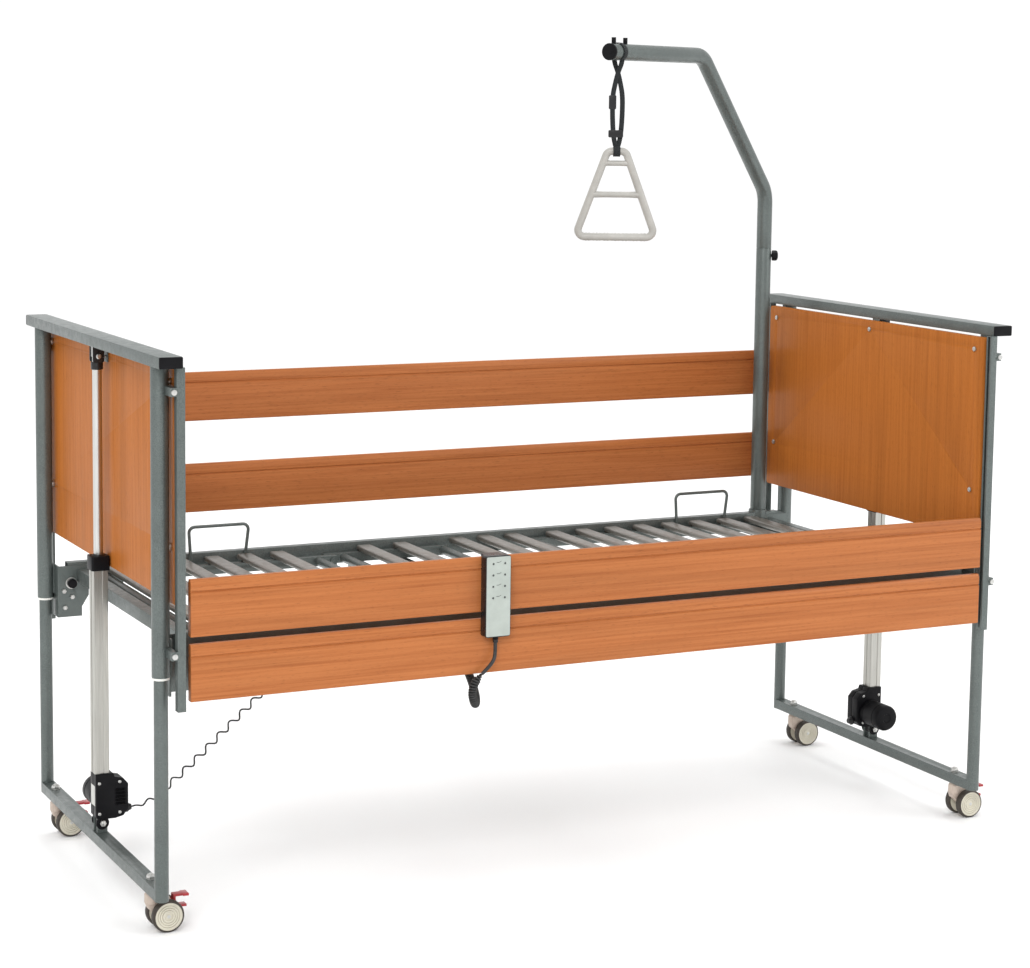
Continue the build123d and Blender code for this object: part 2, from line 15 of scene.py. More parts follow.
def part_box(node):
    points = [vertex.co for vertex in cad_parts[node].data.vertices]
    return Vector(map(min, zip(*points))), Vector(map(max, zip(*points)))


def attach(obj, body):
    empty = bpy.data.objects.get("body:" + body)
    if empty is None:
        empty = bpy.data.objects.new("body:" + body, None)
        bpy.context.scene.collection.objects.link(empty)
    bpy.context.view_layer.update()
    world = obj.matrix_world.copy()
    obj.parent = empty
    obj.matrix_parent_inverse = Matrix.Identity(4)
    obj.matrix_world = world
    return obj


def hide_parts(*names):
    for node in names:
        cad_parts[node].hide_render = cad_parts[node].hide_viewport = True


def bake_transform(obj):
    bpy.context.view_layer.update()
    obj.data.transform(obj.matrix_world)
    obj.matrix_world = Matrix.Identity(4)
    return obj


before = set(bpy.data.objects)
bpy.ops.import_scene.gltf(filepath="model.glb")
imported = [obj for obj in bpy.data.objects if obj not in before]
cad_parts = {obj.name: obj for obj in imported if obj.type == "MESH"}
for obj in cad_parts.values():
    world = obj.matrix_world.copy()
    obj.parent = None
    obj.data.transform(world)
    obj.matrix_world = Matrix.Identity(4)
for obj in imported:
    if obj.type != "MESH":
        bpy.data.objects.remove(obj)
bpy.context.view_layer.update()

MM = 0.001
HALF_TURN = Matrix.Rotation(math.pi, 4, "Z")
ENDS = ("head", "foot")
SIDES = (-1, 1)

# Places and sizes that the pieces share
POST_R = 19 * MM
POST_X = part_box("posts")[1].x - POST_R
POST_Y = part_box("posts")[1].y - POST_R
BASE_PIN_Z = 0.137  # the pin that holds each motor's foot
COLUMN_BOTTOM = 0.250
COLUMN_TOP = 0.7125
STEM_Y = -0.516  # where the handset's lead leaves it
BOARD_HALF_X = 0.993
ARM_AZIMUTH = -150
HANDLE_AZIMUTH = -26
HANDLE_HEIGHT = 208 * MM  # from the grip's middle to the top bar's middle


def heading(degrees):
    """A level direction, by its angle from +X."""
    return Vector((math.cos(math.radians(degrees)), math.sin(math.radians(degrees)), 0))


def at_end(mesh, end):
    """A mesh made at the head end, turned half round if it is for the foot end."""
    turn = Matrix() if end == "head" else HALF_TURN
    bmesh.ops.transform(mesh, matrix=turn, verts=mesh.verts)
    return mesh


# ---------------------------------------------------------------- camera, light and floor

def make_camera():
    """The photographer's place: standing off the near foot corner, looking slightly down."""
    data = bpy.data.cameras.new("camera")
    data.lens = 85.32
    data.sensor_width = 36
    data.shift_y = -0.0903
    camera = bpy.data.objects.new("camera", data)
    bpy.context.collection.objects.link(camera)
    turn = Euler((math.radians(90 - 6.811), 0, math.radians(-26.174))).to_matrix().to_4x4()
    roll = Matrix.Rotation(math.radians(0.732), 4, "Z")
    camera.matrix_world = Matrix.Translation((-2.5686, -5.2005, 1.7618)) @ turn @ roll
    bpy.context.scene.camera = camera


def make_light(name, place, target, size, power):
    """A square soft box that faces a target."""
    data = bpy.data.lights.new(name, "AREA")
    data.size = size
    data.energy = power
    light = bpy.data.objects.new(name, data)
    bpy.context.collection.objects.link(light)
    light.location = place
    light.rotation_euler = (Vector(target) - Vector(place)).to_track_quat("-Z", "Y").to_euler()


def make_studio():
    """A pale floor, a pale surround and three soft boxes."""
    mesh = bpy.data.meshes.new("floor")
    far = 40
    mesh.from_pydata([(-far, -far, 0), (far, -far, 0), (far, far, 0), (-far, far, 0)], [], [(0, 1, 2, 3)])
    floor = bpy.data.objects.new("floor", mesh)
    bpy.context.collection.objects.link(floor)
    surface = Nodes("floor", 0.7)
    surface.colour(surface.ramp(surface.noise(0.6, 3), [(0.3, 0.97), (0.7, 0.98)]))
    mesh.materials.append(surface.material)
    world = bpy.data.worlds.new("studio")
    bpy.context.scene.world = world
    world.use_nodes = True
    world.node_tree.nodes["Background"].inputs["Color"].default_value = (1, 1, 1, 1)
    world.node_tree.nodes["Background"].inputs["Strength"].default_value = 1.04
    middle = (0, 0, 0.8)
    make_light("key", (-6.5, -9.0, 8.5), middle, 4.5, 650)
    make_light("fill", (6.0, -5.0, 4.0), middle, 3.5, 110)
    make_light("top", (1.0, 3.0, 7.5), middle, 4.0, 150)
    bpy.context.scene.view_settings.view_transform = "Standard"


# ---------------------------------------------------------------- materials

class Nodes:
    """One procedural material, with short calls for the nodes that it is made of."""

    def __init__(self, name, roughness, metallic=0.0, coat=0.0, gloss=0.5):
        self.material = bpy.data.materials.new(name)
        self.material.use_nodes = True
        self.tree = self.material.node_tree
        self.shader = self.tree.nodes["Principled BSDF"]
        self.shader.inputs["Roughness"].default_value = roughness
        self.shader.inputs["Metallic"].default_value = metallic
        self.shader.inputs["Coat Weight"].default_value = coat
        self.shader.inputs["Coat Roughness"].default_value = 0.12
        self.shader.inputs["Specular IOR Level"].default_value = gloss
        self.place = self.tree.nodes.new("ShaderNodeTexCoord").outputs["Object"]

    def add(self, kind, **links):
        node = self.tree.nodes.new(kind)
        for name, value in links.items():
            socket = node.inputs[name]
            if isinstance(value, bpy.types.NodeSocket):
                self.tree.links.new(value, socket)
            else:
                socket.default_value = value
        return node

    def stretched(self, scale):
        return self.add("ShaderNodeMapping", Vector=self.place, Scale=scale).outputs[0]

    def noise(self, scale, detail=4, place=None, distortion=0.0):
        source = self.place if place is None else place
        node = self.add("ShaderNodeTexNoise", Vector=source, Scale=scale, Detail=detail)
        node.inputs["Distortion"].default_value = distortion
        return node.outputs[0]

    def ramp(self, value, stops):
        node = self.add("ShaderNodeValToRGB", Fac=value)
        ramp = node.color_ramp
        while len(ramp.elements) < len(stops):
            ramp.elements.new(0.5)
        for element, (position, colour) in zip(ramp.elements, stops):
            element.position = position
            level = colour if isinstance(colour, tuple) else (colour, colour, colour)
            element.color = (*level, 1)
        return node.outputs[0]

    def mix(self, factor, first, second, blend="MIX"):
        node = self.tree.nodes.new("ShaderNodeMix")
        node.data_type = "RGBA"
        node.blend_type = blend
        for index, value in ((0, factor), (6, first), (7, second)):
            if isinstance(value, bpy.types.NodeSocket):
                self.tree.links.new(value, node.inputs[index])
            else:
                node.inputs[index].default_value = (*value, 1) if isinstance(value, tuple) else value
        return node.outputs[2]

    def colour(self, value):
        self.tree.links.new(value, self.shader.inputs["Base Color"])

    def roughness(self, value):
        self.tree.links.new(value, self.shader.inputs["Roughness"])

    def bump(self, height, distance, strength=1.0):
        node = self.add("ShaderNodeBump", Height=height, Distance=distance, Strength=strength)
        self.tree.links.new(node.outputs[0], self.shader.inputs["Normal"])


def powder_coat(name, dark, light):
    """Textured metallic paint: fine flecks, a slight orange peel, and soft mottling."""
    made = Nodes(name, 0.34, metallic=0.5)
    flecks = made.noise(900, 3)
    base = made.ramp(flecks, [(0.38, dark), (0.62, light)])
    mottling = made.ramp(made.noise(14, 5), [(0.3, 0.86), (0.7, 1.0)])
    made.colour(made.mix(1.0, base, mottling, "MULTIPLY"))
    made.roughness(made.ramp(made.noise(60, 4), [(0.3, 0.28), (0.7, 0.42)]))
    made.bump(made.noise(520, 3), 0.00035, 0.6)
    return made.material


def laminate(name, along, light, dark, gloss):
    """Beech decor: long streaks, soft figure and short dark flecks, all along one axis."""
    made = Nodes(name, 0.36, gloss=gloss)
    streak_scale = [190, 190, 190]
    streak_scale[along] = 3.0
    streaks = made.noise(1, 7, made.stretched(streak_scale), distortion=0.6)
    figure_scale = [11, 11, 11]
    figure_scale[along] = 0.55
    figure = made.noise(1, 4, made.stretched(figure_scale), distortion=1.6)
    fleck_scale = [650, 650, 650]
    fleck_scale[along] = 60
    flecks = made.noise(1, 2, made.stretched(fleck_scale))
    middle = tuple((a + b) / 2 for a, b in zip(light, dark))
    tone = made.ramp(streaks, [(0.25, dark), (0.42, middle), (0.62, light)])
    broad = made.ramp(figure, [(0.3, 0.86), (0.55, 1.0), (0.75, 0.93)])
    tone = made.mix(1.0, tone, broad, "MULTIPLY")
    short = made.ramp(flecks, [(0.28, 0.62), (0.4, 1.0)])
    made.colour(made.mix(0.8, tone, short, "MULTIPLY"))
    made.roughness(made.ramp(streaks, [(0.3, 0.44), (0.7, 0.32)]))
    made.bump(flecks, 0.00012, 0.5)
    return made.material


def brushed(name, along, base, roughness):
    """Bare metal with fine marks along one axis."""
    made = Nodes(name, roughness, metallic=1.0)
    scale = [900, 900, 900]
    scale[along] = 12
    marks = made.noise(1, 4, made.stretched(scale))
    darker = tuple(level * 0.82 for level in base)
    made.colour(made.ramp(marks, [(0.3, darker), (0.7, base)]))
    made.roughness(made.ramp(marks, [(0.3, roughness + 0.08), (0.7, roughness - 0.05)]))
    made.bump(marks, 0.00005, 0.5)
    return made.material


def moulded(name, base, roughness, grain=1200, coat=0.0, gloss=0.5):
    """Moulded plastic: a fine spark-eroded grain and faint handling marks."""
    made = Nodes(name, roughness, coat=coat, gloss=gloss)
    cloud = made.noise(35, 5)
    worn = tuple(level * 1.15 + 0.002 for level in base)
    made.colour(made.ramp(cloud, [(0.35, base), (0.7, worn)]))
    made.roughness(made.ramp(cloud, [(0.3, roughness + 0.06), (0.7, roughness - 0.06)]))
    made.bump(made.noise(grain, 3), 0.0001, 0.7)
    return made.material


def rubber(name, base):
    """Soft rubber or PVC: dull, with dust in its low places."""
    made = Nodes(name, 0.62)
    dust = tuple(level + 0.02 for level in base)
    made.colour(made.ramp(made.noise(120, 6), [(0.4, base), (0.75, dust)]))
    made.bump(made.noise(500, 4), 0.00015, 0.5)
    return made.material


def webbing(name, base):
    """Woven strap: two crossed wave patterns, and thread by thread colour."""
    made = Nodes(name, 0.85)
    fine = made.stretched((1100, 1100, 1100))
    across = made.add("ShaderNodeTexWave", Vector=fine, Scale=1.0).outputs[1]
    up = made.add("ShaderNodeTexWave", Vector=fine, Scale=0.6)
    up.bands_direction = "Z"
    weave = made.mix(0.5, across, up.outputs[1])
    light = tuple(level * 2.0 for level in base)
    made.colour(made.ramp(weave, [(0.2, base), (0.8, light)]))
    made.bump(weave, 0.0004, 0.9)
    return made.material


PAINT = powder_coat("frame_powder_coat", (0.085, 0.100, 0.096), (0.165, 0.190, 0.182))
SLAT_PAINT = powder_coat("slat_powder_coat", (0.205, 0.195, 0.175), (0.30, 0.29, 0.26))
RAIL_WOOD = laminate("rail_beech", 0, (0.44, 0.150, 0.046), (0.33, 0.098, 0.026), 0.2)
PANEL_WOOD = laminate("panel_beech", 2, (0.45, 0.146, 0.028), (0.36, 0.109, 0.020), 0.06)
STEEL = brushed("zinc_steel", 2, (0.62, 0.62, 0.60), 0.32)
ALUMINIUM = brushed("column_aluminium", 2, (0.49, 0.485, 0.45), 0.34)
BLACK = moulded("black_plastic", (0.004, 0.004, 0.005), 0.40, gloss=0.12)
SATIN_BLACK = moulded("satin_black_plastic", (0.008, 0.008, 0.009), 0.3, grain=2000, gloss=0.35)
WHITE = moulded("white_plastic", (0.72, 0.72, 0.68), 0.45)
LABEL = moulded("blank_label", (0.50, 0.50, 0.47), 0.5, grain=2500)
CASTER_GREY = moulded("caster_housing", (0.46, 0.38, 0.32), 0.45)
DISC_CREAM = moulded("wheel_disc", (0.56, 0.53, 0.44), 0.35)
TYRE = rubber("tyre_rubber", (0.030, 0.022, 0.015))
RED = moulded("red_plastic", (0.34, 0.008, 0.014), 0.3, coat=0.2)
PALE_ZINC = brushed("pale_zinc", 2, (0.60, 0.68, 0.66), 0.4)
FACE_GREY = moulded("handset_face", (0.34, 0.375, 0.345), 0.42, grain=2200)
KEY_DARK = moulded("handset_key", (0.035, 0.040, 0.038), 0.5)
HANDLE_GREY = moulded("handle_plastic", (0.35, 0.34, 0.315), 0.36)
WEBBING = webbing("strap_webbing", (0.008, 0.010, 0.011))
LEAD = rubber("lead_rubber", (0.014, 0.014, 0.014))


# ---------------------------------------------------------------- mesh helpers

def placed(bm, name, material, body, crease=35):
    """A finished mesh as an object: smooth but for its creases, and riding on its body."""
    mesh = bpy.data.meshes.new(name)
    bmesh.ops.recalc_face_normals(bm, faces=bm.faces)
    bm.to_mesh(mesh)
    bm.free()
    for polygon in mesh.polygons:
        polygon.use_smooth = True
    mesh.set_sharp_from_angle(angle=math.radians(crease))
    mesh.materials.append(material)
    piece = bpy.data.objects.new(name, mesh)
    bpy.context.collection.objects.link(piece)
    if body:
        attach(piece, body)
    return piece


def bevelled(bm, width, segments=2, angle=40):
    """Rounds the sharp edges, after joining flat triangles into whole faces."""
    bmesh.ops.dissolve_limit(
        bm, angle_limit=math.radians(0.5), verts=bm.verts, edges=bm.edges, use_dissolve_boundaries=False
    )
    sharp = [
        edge for edge in bm.edges
        if len(edge.link_faces) == 2 and edge.calc_face_angle(0) > math.radians(angle)
    ]
    bmesh.ops.bevel(
        bm, geom=sharp, offset=width, segments=segments, profile=0.6, affect="EDGES", clamp_overlap=True
    )
    return bm


def solids_of(node):
    """Each separate solid of a CAD node, as a mesh of its own."""
    whole = bmesh.new()
    whole.from_mesh(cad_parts[node].data)
    bmesh.ops.remove_doubles(whole, verts=whole.verts, dist=1e-6)
    whole.faces.ensure_lookup_table()
    group = {}
    for face in whole.faces:
        if face.index in group:
            continue
        label = len(set(group.values()))
        waiting = [face]
        group[face.index] = label
        while waiting:
            for vert in waiting.pop().verts:
                for other in vert.link_faces:
                    if other.index not in group:
                        group[other.index] = label
                        waiting.append(other)
    solids = []
    for label in sorted(set(group.values())):
        part = whole.copy()
        part.faces.ensure_lookup_table()
        away = [face for face in part.faces if group[face.index] != label]
        bmesh.ops.delete(part, geom=away, context="FACES")
        solids.append(part)
    whole.free()
    return solids


def extent(bm):
    """Lowest and highest corner of a mesh."""
    low = Vector(min(vert.co[axis] for vert in bm.verts) for axis in range(3))
    high = Vector(max(vert.co[axis] for vert in bm.verts) for axis in range(3))
    return low, high


def joined(meshes):
    """One mesh from several."""
    whole = bmesh.new()
    for part in meshes:
        carrier = bpy.data.meshes.new("carrier")
        part.to_mesh(carrier)
        part.free()
        whole.from_mesh(carrier)
        bpy.data.meshes.remove(carrier)
    return whole


def dressed(node, material, body, width=0.8 * MM, choose=None):
    """Stands in for a CAD node with rounded edges. choose names another material, or None to skip."""
    groups = {}
    for solid in solids_of(node):
        pick = material if choose is None else choose(*extent(solid))
        if pick is None:
            solid.free()
            continue
        groups.setdefault(pick.name, (pick, []))[1].append(bevelled(solid, width))
    pieces = []
    for number, (pick, meshes) in enumerate(groups.values()):
        name = f"{node}_look" if number == 0 else f"{node}_look_{number + 1}"
        piece = placed(joined(meshes), name, pick, body)
        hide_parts(node)
        pieces.append(piece)
    return pieces


def extruded(outline, axis, start, end, width=0.0, segments=2):
    """A prism: an outline in the other two axes, from start to end along an axis."""
    bm = bmesh.new()
    loops = []
    for along in (start, end):
        loop = []
        for first, second in outline:
            place = [first, second]
            place.insert(axis, along)
            loop.append(bm.verts.new(place))
        loops.append(loop)
    count = len(outline)
    for index in range(count):
        following = (index + 1) % count
        bm.faces.new((loops[0][index], loops[0][following], loops[1][following], loops[1][index]))
    bm.faces.new(loops[0][::-1])
    bm.faces.new(loops[1])
    bmesh.ops.recalc_face_normals(bm, faces=bm.faces)
    if width:
        sharp = [edge for edge in bm.edges if edge.calc_face_angle(0) > math.radians(25)]
        bmesh.ops.bevel(bm, geom=sharp, offset=width, segments=segments, profile=0.6, affect="EDGES")
    return bm


def rounded_rectangle(half_a, half_b, radius, centre=(0, 0), steps=4):
    """An outline with round corners."""
    points = []
    for corner in range(4):
        turn = corner * math.pi / 2
        sign_a = 1 if corner in (0, 3) else -1
        sign_b = 1 if corner in (0, 1) else -1
        for step in range(steps + 1):
            angle = turn + step * math.pi / 2 / steps
            points.append((
                centre[0] + sign_a * (half_a - radius) + radius * math.cos(angle),
                centre[1] + sign_b * (half_b - radius) + radius * math.sin(angle),
            ))
    return points


def rounded_block(low, high, radius, width=0.6 * MM, axis=2):
    """A block with round corners about one axis and softened ends."""
    others = [number for number in range(3) if number != axis]
    half = [(high[number] - low[number]) / 2 for number in others]
    middle = [(high[number] + low[number]) / 2 for number in others]
    outline = rounded_rectangle(half[0], half[1], radius, middle)
    return extruded(outline, axis, low[axis], high[axis], width)


def lathed(profile, centre, direction, steps=48, capped=True):
    """A turned shape: profile holds (distance along the direction, radius) from one end."""
    bm = bmesh.new()
    turn = Vector(direction).to_track_quat("Z", "Y").to_matrix()
    rings = []
    for along, radius in profile:
        if radius <= 0:
            rings.append([bm.verts.new(Vector(centre) + turn @ Vector((0, 0, along)))])
            continue
        ring = []
        for step in range(steps):
            angle = 2 * math.pi * step / steps
            spot = Vector((radius * math.cos(angle), radius * math.sin(angle), along))
            ring.append(bm.verts.new(Vector(centre) + turn @ spot))
        rings.append(ring)
    for first, second in zip(rings, rings[1:]):
        for step in range(steps):
            following = (step + 1) % steps
            if len(first) == 1:
                bm.faces.new((first[0], second[step], second[following]))
            elif len(second) == 1:
                bm.faces.new((first[step], first[following], second[0]))
            else:
                bm.faces.new((first[step], first[following], second[following], second[step]))
    for ring in (rings[0], rings[-1]):
        if capped and len(ring) > 1:
            bm.faces.new(ring)
    return bm


def swept(points, radii, sides=12, closed=False, normal=(0, 0, 1)):
    """A round skin along a line of points, with one radius or one for each point."""
    bm = bmesh.new()
    count = len(points)
    spots = [Vector(point) for point in points]
    across = Vector(normal)
    rings = []
    for index, spot in enumerate(spots):
        if closed:
            ahead = spots[(index + 1) % count] - spots[index - 1]
        else:
            ahead = spots[min(index + 1, count - 1)] - spots[max(index - 1, 0)]
        ahead.normalize()
        across = (across - ahead * across.dot(ahead)).normalized()
        beside = ahead.cross(across)
        radius = radii[index] if isinstance(radii, list) else radii
        ring = []
        for side in range(sides):
            angle = 2 * math.pi * side / sides
            offset = across * math.cos(angle) + beside * math.sin(angle)
            ring.append(bm.verts.new(spot + offset * radius))
        rings.append(ring)
    pairs = list(zip(rings, rings[1:]))
    if closed:
        pairs.append((rings[-1], rings[0]))
    for first, second in pairs:
        for side in range(sides):
            following = (side + 1) % sides
            bm.faces.new((first[side], first[following], second[following], second[side]))
    if not closed:
        bm.faces.new(rings[0][::-1])
        bm.faces.new(rings[-1])
    return bm


def screw(place, direction, radius, height=2.2 * MM):
    """A pan head with a cross recess, on a surface."""
    steps = 48
    rings = 8
    bm = bmesh.new()
    turn = Vector(direction).to_track_quat("Z", "Y").to_matrix()
    grid = []
    for ring in range(rings + 1):
        share = ring / rings
        row = []
        for step in range(steps if ring else 1):
            angle = 2 * math.pi * step / steps
            x = radius * share * math.cos(angle)
            y = radius * share * math.sin(angle)
            z = height * math.sqrt(max(0.0, 1 - (share * 0.96) ** 2.6))
            slot_half = radius * 0.11
            in_cross = min(abs(x), abs(y)) < slot_half and max(abs(x), abs(y)) < radius * 0.55
            if in_cross:
                z -= height * 0.5
            row.append(bm.verts.new(Vector(place) + turn @ Vector((x, y, z))))
        grid.append(row)
    for step in range(steps):
        following = (step + 1) % steps
        bm.faces.new((grid[0][0], grid[1][step], grid[1][following]))
        for ring in range(1, rings):
            inner = grid[ring]
            outer = grid[ring + 1]
            bm.faces.new((inner[step], outer[step], outer[following], inner[following]))
    bm.faces.new(grid[-1][::-1])
    return bm


def hex_nut(place, direction, across_flats, height):
    """A nut with chamfered corners and a bolt end in it."""
    radius = across_flats / math.sqrt(3)
    profile = [(0, radius * 0.94), (height * 0.12, radius), (height * 0.88, radius), (height, radius * 0.94)]
    nut = lathed(profile, place, direction, steps=6)
    bolt = across_flats * 0.3
    tip = [(height * 0.5, bolt), (height * 1.25, bolt), (height * 1.35, bolt * 0.8)]
    return joined([nut, lathed(tip, place, direction, steps=24)])


# ---------------------------------------------------------------- free leads

MOTOR_ROUTE = [
    (-0.968, 0, 0.162), (-0.930, 0, 0.162), (-0.880, 0, 0.200), (-0.820, -0.003, 0.250),
    (-0.750, -0.005, 0.314), (-0.680, -0.005, 0.374), (-0.610, -0.004, 0.436), (-0.540, -0.002, 0.492),
    (-0.470, -0.001, 0.528), (-0.400, 0, 0.540), (-0.332, 0, 0.540),
]
HANDSET_ROUTE = [
    (-0.306, -0.516, 0.590), (-0.306, -0.516, 0.572), (-0.309, -0.519, 0.554),
    (-0.322, -0.520, 0.538), (-0.338, -0.519, 0.524),
]
CURL_ROUTE = [
    (-0.338, -0.519, 0.524), (-0.354, -0.518, 0.510), (-0.360, -0.513, 0.484), (-0.350, -0.503, 0.458),
    (-0.334, -0.480, 0.446), (-0.320, -0.450, 0.456), (-0.312, -0.412, 0.480), (-0.304, -0.360, 0.504),
    (-0.294, -0.300, 0.520), (-0.284, -0.240, 0.530), (-0.270, -0.180, 0.536), (-0.258, -0.120, 0.540),
    (-0.258, -0.067, 0.540),
]


def smooth_line(points):
    """Points along the smooth curve that has the route's points as its control points."""
    curve = bpy.data.curves.new("route", "CURVE")
    curve.dimensions = "3D"
    curve.resolution_u = 24
    spline = curve.splines.new("NURBS")
    spline.points.add(len(points) - 1)
    for control, place in zip(spline.points, points):
        control.co = (*place, 1)
    spline.order_u = 3
    spline.use_endpoint_u = True
    carrier = bpy.data.objects.new("route", curve)
    bpy.context.collection.objects.link(carrier)
    bpy.context.view_layer.update()
    line = bpy.data.meshes.new_from_object(carrier)
    spots = [vert.co.copy() for vert in line.vertices]
    bpy.data.objects.remove(carrier)
    bpy.data.meshes.remove(line)
    return spots


def line_length(spots):
    """Length along a line of points."""
    return sum((b - a).length for a, b in zip(spots, spots[1:]))


def helix(spots, radius, pitch, per_turn=16):
    """A curly cord's wire round a line. It starts and ends on the line itself."""
    total = line_length(spots)
    turns = round(total / pitch)
    count = turns * per_turn
    across = Vector((0, 1, 0))
    wire = []
    index = 0
    passed = 0.0
    for number in range(count + 1):
        target = total * number / count
        while index < len(spots) - 2 and passed + (spots[index + 1] - spots[index]).length < target:
            passed += (spots[index + 1] - spots[index]).length
            index += 1
        run = spots[index + 1] - spots[index]
        spot = spots[index] + run * min(1.0, (target - passed) / run.length)
        ahead = run.normalized()
        across = (across - ahead * across.dot(ahead)).normalized()
        beside = ahead.cross(across)
        from_end = min(target, total - target)
        reach = radius * min(1.0, from_end / (1.2 * pitch + 0.012))
        angle = 2 * math.pi * number / per_turn
        wire.append(spot + (across * math.cos(angle) + beside * math.sin(angle)) * reach)
    return wire


def make_leads():
    """The foot motor's curly lead, pulled out long, and the handset's lead with its tight curl."""
    wire_size = 4 * MM
    motor_line = smooth_line(MOTOR_ROUTE)
    wire = helix(motor_line, 6.6 * MM, 36 * MM, per_turn=20)
    lead = placed(swept(wire, wire_size / 2, 8, normal=(0, 1, 0)), "motor_lead", LEAD, None)
    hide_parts("foot_motor_lead")
    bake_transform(lead)

    size = 8 * MM
    straight = smooth_line(HANDSET_ROUTE)
    tube = swept(straight, size / 2, 12, normal=(1, 0, 0))
    stem = placed(tube, "handset_stem", LEAD, "near_upper")
    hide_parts("handset_lead")

    curl_size = 4.6 * MM
    wire = helix(smooth_line(CURL_ROUTE), 7.4 * MM, 5.6 * MM, per_turn=14)
    curl = placed(swept(wire, curl_size / 2, 8, normal=(0, 0, 1)), "handset_coil", LEAD, None)
    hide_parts("handset_curl")
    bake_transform(curl)


# ---------------------------------------------------------------- ends of the bed

def make_ends():
    """Posts, top rails, panels, guides, brackets and their fastenings."""
    dressed("posts", PAINT, "root", 0.4 * MM)
    dressed("post_bushes", WHITE, "root", 0.5 * MM)
    dressed("top_rails", PAINT, "root", 0.7 * MM)
    dressed("rail_end_caps", BLACK, "root", 1.2 * MM)
    dressed("end_panels", PANEL_WOOD, "root", 1.2 * MM)
    dressed("rail_guides", PAINT, "root", 0.4 * MM)
    dressed(
        "frame_bolts", STEEL, "root", 0.5 * MM,
        choose=lambda low, high: PAINT if high.z - low.z > 17 * MM else STEEL,
    )
    dressed(
        "corner_brackets", PAINT, "root", 0.6 * MM,
        choose=lambda low, high: BLACK if high.z - low.z < 30 * MM else PAINT,
    )
    dressed("lift_rods", STEEL, "root", 0.5 * MM)
    heads = []
    panel_thick = 16 * MM
    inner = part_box("end_panels")[1].x - panel_thick - 2.5 * MM
    for end in ENDS:
        for y, z in ((-POST_Y, 1.180), (POST_Y, 1.180), (0, 1.188), (-POST_Y, 0.838), (POST_Y, 0.838)):
            heads.append(at_end(screw((inner, y, z), (-1, 0, 0), 5.6 * MM), end))
    placed(joined(heads), "panel_screw_heads", STEEL, "root")
    for end in ENDS:
        for name, meshes, material in end_fittings():
            placed(at_end(joined(meshes), end), f"{end}_{name}", material, "root")


def end_fittings():
    """The head end's rod clevis, and the bolts and knob trims of its brackets."""
    cheeks = []
    for side in SIDES:
        cheeks.append(rounded_block(
            (POST_X - 13 * MM, min(side * 11 * MM, side * 14 * MM), 1.176),
            (POST_X + 13 * MM, max(side * 11 * MM, side * 14 * MM), 1.215), 5 * MM, 0.6 * MM, axis=1,
        ))
    pin = lathed(
        [(-19 * MM, 0), (-19 * MM, 5 * MM), (-16 * MM, 6 * MM), (-14 * MM, 6 * MM), (-14 * MM, 4 * MM),
         (14 * MM, 4 * MM), (14 * MM, 6 * MM), (16 * MM, 6 * MM), (18 * MM, 4 * MM), (18 * MM, 0)],
        (POST_X, 0, 1.190), (0, 1, 0), 32,
    )
    collar_profile = [
        (0, 12.5 * MM), (1.5 * MM, 13.5 * MM), (16 * MM, 13.5 * MM), (17 * MM, 12.5 * MM),
        (17 * MM, 10.5 * MM),
    ]
    collar = lathed(collar_profile, (POST_X, 0, 1.160), (0, 0, 1), 40)
    bolts = []
    trims = []
    for side in SIDES:
        face = side * 401 * MM
        for x, z in ((0.986, 0.570), (1.004, 0.545), (1.006, 0.585)):
            bolts.append(hex_nut((x, face, z), (0, -side, 0), 10 * MM, 5 * MM))
        trims.append(lathed(
            [(0, 13 * MM), (2 * MM, 14 * MM), (3 * MM, 14 * MM), (3.5 * MM, 12 * MM)],
            (0.988, face, 0.604), (0, -side, 0), 32,
        ))
    return [
        ("rod_clevis", cheeks + [collar], SATIN_BLACK), ("rod_pin", [pin], STEEL),
        ("bracket_bolts", bolts, STEEL), ("knob_collars", trims, STEEL),
    ]


# ---------------------------------------------------------------- side rails

def board_outline(y0, y1, z0, z1):
    """A board's section: bevelled top edges, rounded foot and a groove down each face."""
    groove = z1 - 26 * MM
    half = 2.2 * MM
    deep = 3 * MM
    back = 0.8 * MM
    slope = 4.5 * MM
    right = [
        (y1 - MM, z0), (y1, z0 + 2 * MM), (y1, groove - half), (y1 - deep, groove - 0.7 * MM),
        (y1 - deep, groove + 0.7 * MM), (y1 - back, groove + half), (y1 - back, z1 - 8 * MM),
        (y1 - slope, z1),
    ]
    return right + [(y0 + y1 - y, z) for y, z in reversed(right)]


def make_side_rails():
    """Four boards, with zinc end fittings that run in the guides."""
    thick = 19 * MM
    for body in ("near_upper", "near_lower", "far_upper", "far_lower"):
        node = f"{body}_rail"
        low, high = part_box(node)
        side = 1 if high.y > 0 else -1
        y0, y1 = (high.y - thick, high.y) if side > 0 else (low.y, low.y + thick)
        board = extruded(board_outline(y0, y1, low.z, high.z), 0, -BOARD_HALF_X, BOARD_HALF_X, 0.5 * MM)
        board = placed(board, f"{body}_board", RAIL_WOOD, body, crease=30)
        fittings = []
        for solid in solids_of(node):
            solid_low, solid_high = extent(solid)
            if solid_high.x - solid_low.x < 0.2:
                fittings.append(bevelled(solid, 0.5 * MM))
            else:
                solid.free()
        if fittings:
            plates = placed(joined(fittings), f"{body}_fittings", PALE_ZINC, body)
            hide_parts(node)
        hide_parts(node)
        screws = []
        inner = y0 if side > 0 else y1
        for end in SIDES:
            for x in (955, 978):
                for up in (30, 85):
                    place = (end * x * MM, inner - side * 2.5 * MM, low.z + up * MM)
                    screws.append(screw(place, (0, -side, 0), 4.2 * MM, 1.8 * MM))
        placed(joined(screws), f"{body}_screws", STEEL, body)


# ---------------------------------------------------------------- lying surface

